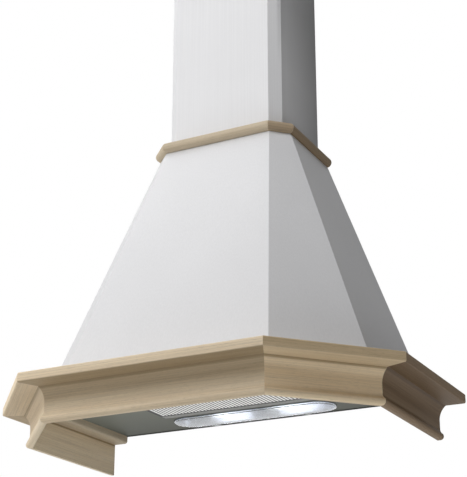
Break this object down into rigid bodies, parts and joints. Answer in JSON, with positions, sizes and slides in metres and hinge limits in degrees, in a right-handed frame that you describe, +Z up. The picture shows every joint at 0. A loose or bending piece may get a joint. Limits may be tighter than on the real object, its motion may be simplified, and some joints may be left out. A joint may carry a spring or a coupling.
{
  "type": "wall-mounted range hood",
  "caption": "Wall-mounted chimney hood with a moulded wooden cornice and collar, painted steel canopy, grease filter, lamps, blower and telescoping chimney.",
  "frame": {"origin": "centre of the rectangle of four wall-screw holes in the back panel, on the wall's face", "axes": "+X to the right seen from the room, +Y into the wall, +Z up"},
  "size_m": [0.9, 0.55, 1.224],
  "materials": {
    "limed_wood": "raw, pale, fine straight grain",
    "plywood": "raw",
    "painted_steel": "satin light grey-white powder coat",
    "grey_panel": "satin grey",
    "zinc_steel": "galvanised",
    "zinc_screws": "zinc plated",
    "bright_steel": "bright",
    "motor_aluminium": "cast, matt",
    "filter_aluminium": "satin rolled sheet",
    "reflector": "bright rolled sheet",
    "clear_cover": "clear moulded plastic",
    "lamp_glass": "frosted",
    "white_nylon": "smooth",
    "white_ceramic": "glazed white",
    "black_plastic": "fine texture",
    "grey_plastic": "fine texture",
    "button_plastic": "polished"
  },
  "bodies": {
    "hood_body": {"cornice_side_left": "limed_wood", "batten_side_left": "limed_wood", "collar_side_left": "limed_wood", "canopy_side_left": "painted_steel", "cornice_chamfer_left": "limed_wood", "batten_chamfer_left": "limed_wood", "collar_chamfer_left": "limed_wood", "canopy_chamfer_left": "painted_steel", "cornice_front": "limed_wood", "batten_front": "limed_wood", "collar_front": "limed_wood", "canopy_front": "painted_steel", "cornice_chamfer_right": "limed_wood", "batten_chamfer_right": "limed_wood", "collar_chamfer_right": "limed_wood", "canopy_chamfer_right": "painted_steel", "cornice_side_right": "limed_wood", "batten_side_right": "limed_wood", "collar_side_right": "limed_wood", "canopy_side_right": "painted_steel", "corner_splines": "plywood", "canopy_screws": "zinc_screws", "back_panel": "zinc_steel", "neck_plate": "zinc_steel", "lower_chimney": "painted_steel", "chimney_glides": "white_nylon", "outlet_collar": "black_plastic", "flap_spindle": "bright_steel", "blower_housing_left": "black_plastic", "blower_housing_right": "black_plastic", "blower_motor": "motor_aluminium", "motor_bracket": "zinc_steel", "terminal_box": "grey_plastic", "cable_gland": "black_plastic", "under_panel": "grey_panel", "filter_catch_left": "bright_steel", "filter_catch_right": "bright_steel", "lamp_housing": "reflector", "lamp_holder_left": "white_ceramic", "lamp_holder_right": "white_ceramic", "bulb_left": "lamp_glass", "bulb_right": "lamp_glass", "button_bezel": "black_plastic", "switch_block": "grey_plastic"},
    "upper_chimney": {"upper_chimney": "painted_steel", "chimney_bracket": "zinc_steel", "bracket_screws": "zinc_screws"},
    "grease_filter": {"filter_frame": "filter_aluminium", "filter_face": "filter_aluminium", "filter_mesh": "filter_aluminium"},
    "lamp_cover": {"lamp_cover": "clear_cover"},
    "blower_wheel": {"blower_wheel": "grey_plastic", "motor_shaft": "bright_steel"},
    "flap_front": {"flap_front": "black_plastic"},
    "flap_rear": {"flap_rear": "black_plastic"},
    "button_1": {"button_1": "button_plastic"},
    "button_2": {"button_2": "button_plastic"},
    "button_3": {"button_3": "button_plastic"},
    "button_4": {"button_4": "button_plastic"},
    "button_5": {"button_5": "button_plastic"}
  },
  "joints": [
    {"name": "chimney_slide", "type": "slide", "parent": "hood_body", "child": "upper_chimney", "axis": [0, 0, 1], "range_m": [-0.07, 0.32]},
    {"name": "filter_hinge", "type": "hinge", "parent": "hood_body", "child": "grease_filter", "pos_m": [0, -0.113, -0.2085], "axis": [1, 0, 0], "range_deg": [0, 75]},
    {"name": "lamp_cover_hinge", "type": "hinge", "parent": "hood_body", "child": "lamp_cover", "pos_m": [0, -0.017, -0.2161], "axis": [1, 0, 0], "range_deg": [0, 80]},
    {"name": "blower_wheel_spin", "type": "hinge", "parent": "hood_body", "child": "blower_wheel", "pos_m": [0, -0.177, 0.1235], "axis": [1, 0, 0], "continuous": true},
    {"name": "flap_front_hinge", "type": "hinge", "parent": "hood_body", "child": "flap_front", "pos_m": [0, -0.107, 0.388], "axis": [-1, 0, 0], "range_deg": [0, 75]},
    {"name": "flap_rear_hinge", "type": "hinge", "parent": "hood_body", "child": "flap_rear", "pos_m": [0, -0.107, 0.388], "axis": [1, 0, 0], "range_deg": [0, 75]},
    {"name": "button_1_press", "type": "slide", "parent": "hood_body", "child": "button_1", "axis": [0, 0, 1], "range_m": [0, 0.0025], "stiffness_N_per_m": 300, "springref_m": -0.004},
    {"name": "button_2_press", "type": "slide", "parent": "hood_body", "child": "button_2", "axis": [0, 0, 1], "range_m": [0, 0.0025], "stiffness_N_per_m": 300, "springref_m": -0.004},
    {"name": "button_3_press", "type": "slide", "parent": "hood_body", "child": "button_3", "axis": [0, 0, 1], "range_m": [0, 0.0025], "stiffness_N_per_m": 300, "springref_m": -0.004},
    {"name": "button_4_press", "type": "slide", "parent": "hood_body", "child": "button_4", "axis": [0, 0, 1], "range_m": [0, 0.0025], "stiffness_N_per_m": 300, "springref_m": -0.004},
    {"name": "button_5_press", "type": "slide", "parent": "hood_body", "child": "button_5", "axis": [0, 0, 1], "range_m": [0, 0.0025], "stiffness_N_per_m": 300, "springref_m": -0.004}
  ]
}
